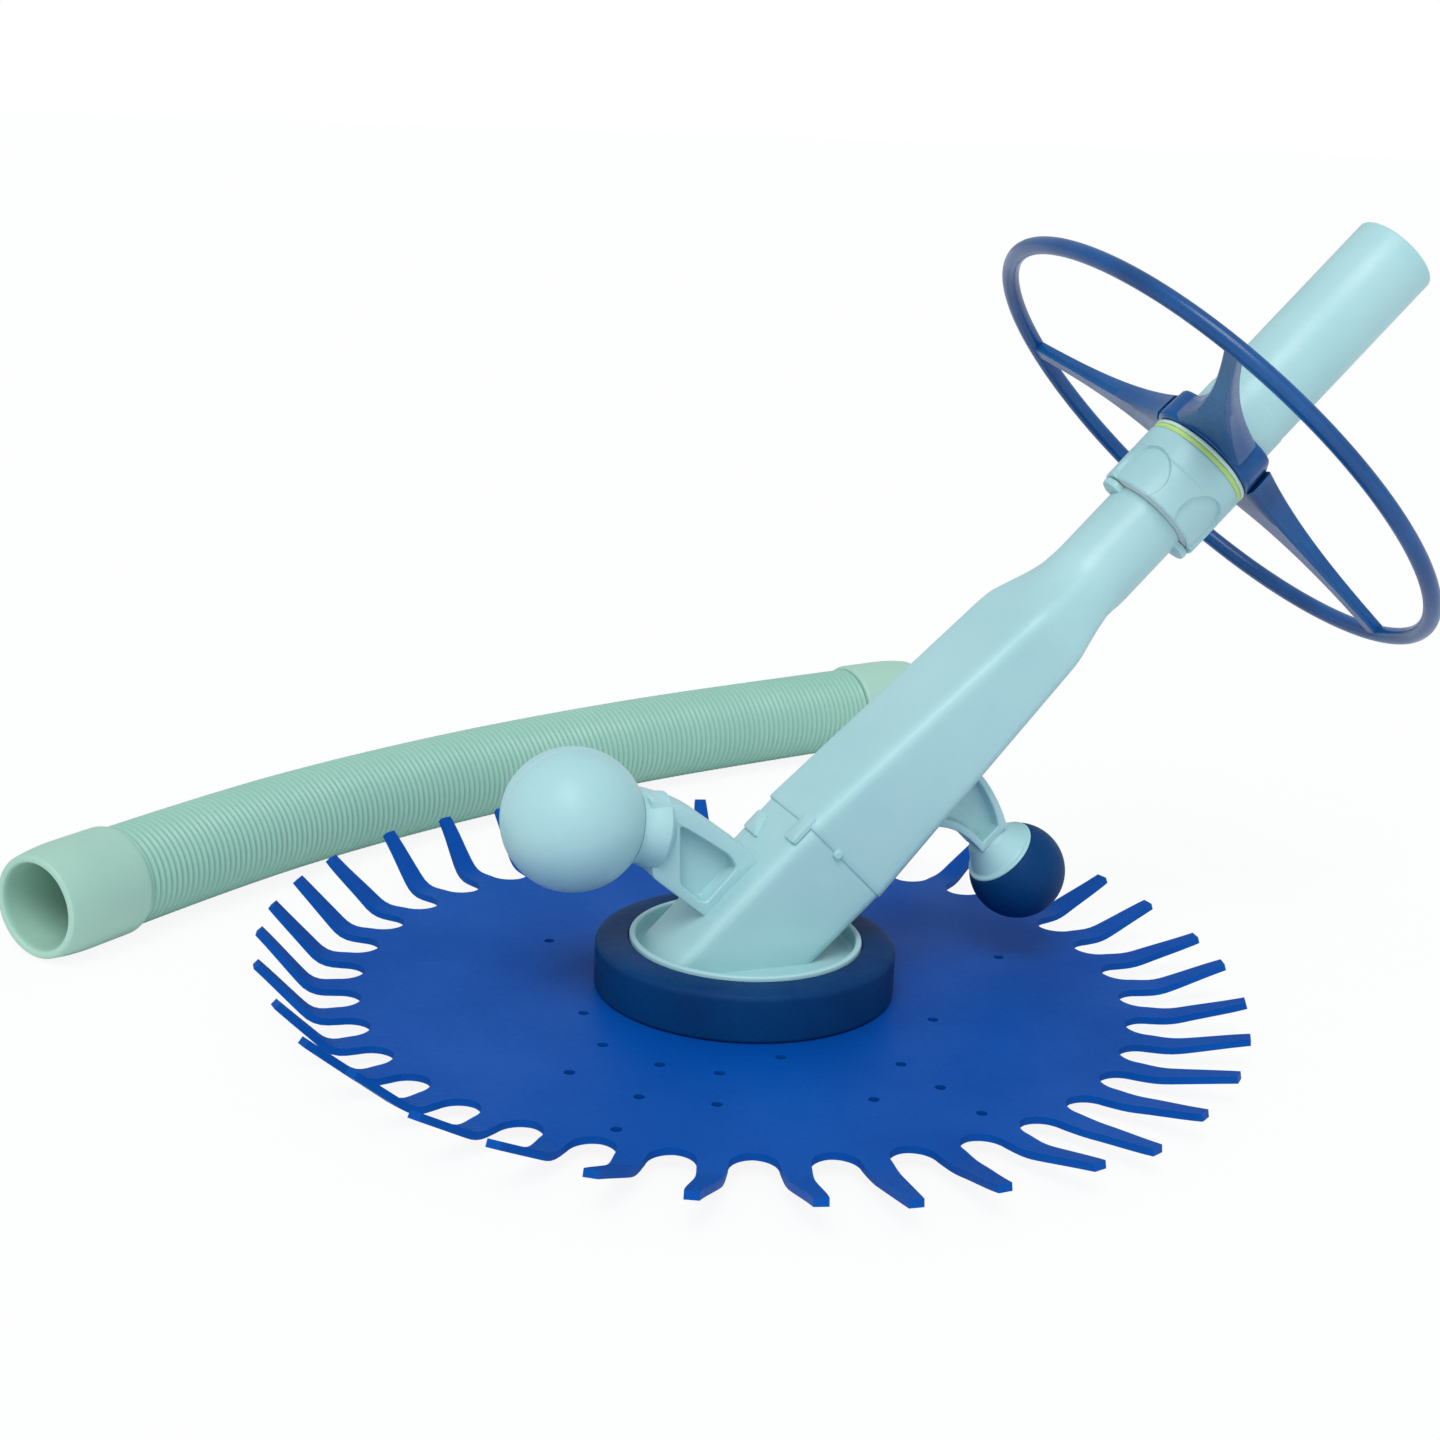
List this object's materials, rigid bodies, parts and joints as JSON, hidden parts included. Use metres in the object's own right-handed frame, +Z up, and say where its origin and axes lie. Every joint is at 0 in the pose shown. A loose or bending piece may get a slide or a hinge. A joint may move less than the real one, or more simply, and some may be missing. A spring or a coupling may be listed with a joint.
{
  "type": "pool cleaner",
  "caption": "Suction pool cleaner: inclined hollow body on a finned rubber disc, swivel hose pipe, bumper wheel, float and weight, with a loose hose section.",
  "frame": {"origin": "centre of the foot's sole, on the floor", "axes": "+Z up; the body leans towards +X; the weight side is +X and the float side is -X"},
  "size_m": [0.5812, 0.5772, 0.3239],
  "materials": {
    "aqua_plastic": "satin moulded plastic",
    "blue_sheet": "flexible moulded sheet",
    "navy_rubber": "moulded rubber",
    "petrol_plastic": "glossy moulded plastic",
    "white_plastic": "moulded plastic",
    "yellow_ring": "soft seal ring",
    "pale_ring": "moulded plastic",
    "hose_green": "translucent corrugated plastic",
    "steel": "stainless",
    "lead": "cast ballast"
  },
  "bodies": {
    "cleaner": {"foot_shoe": "navy_rubber", "foot_pad": "navy_rubber", "foot_screws": "steel", "lower_body": "aqua_plastic", "upper_body": "aqua_plastic", "body_screws": "steel", "valve_seat": "white_plastic", "inner_tube": "white_plastic", "tube_clip": "white_plastic", "flapper_pin": "steel", "flapper_washers": "white_plastic", "swivel_nut": "aqua_plastic", "thrust_washer": "white_plastic", "slip_ring": "white_plastic", "bearing_ring": "yellow_ring", "cap_washer": "pale_ring", "float_near": "aqua_plastic", "float_far": "aqua_plastic", "float_arm": "aqua_plastic", "weight_arm": "aqua_plastic", "weight_boot": "navy_rubber", "weight_cup": "aqua_plastic", "weight_lead": "lead", "weight_bolt": "steel", "hose": "hose_green", "hose_cuff_left": "hose_green", "hose_cuff_right": "hose_green"},
    "disc": {"disc": "blue_sheet"},
    "flapper": {"flapper": "navy_rubber"},
    "pipe": {"pipe": "aqua_plastic", "wheel_clip": "steel"},
    "wheel": {"wheel": "petrol_plastic"}
  },
  "joints": [
    {"name": "disc_spin", "type": "hinge", "parent": "cleaner", "child": "disc", "pos_m": [0, 0, 0.0075], "axis": [0, 0, 1], "continuous": true},
    {"name": "flapper_swing", "type": "hinge", "parent": "cleaner", "child": "flapper", "pos_m": [0.02334, 0, 0.05658], "axis": [0, 1, 0], "range_deg": [-12, 12]},
    {"name": "pipe_swivel", "type": "hinge", "parent": "cleaner", "child": "pipe", "pos_m": [0.18385, 0, 0.21285], "axis": [0.7071, 0, 0.7071], "continuous": true},
    {"name": "wheel_spin", "type": "hinge", "parent": "pipe", "child": "wheel", "pos_m": [0.20153, 0, 0.23053], "axis": [0.7071, 0, 0.7071], "continuous": true}
  ]
}
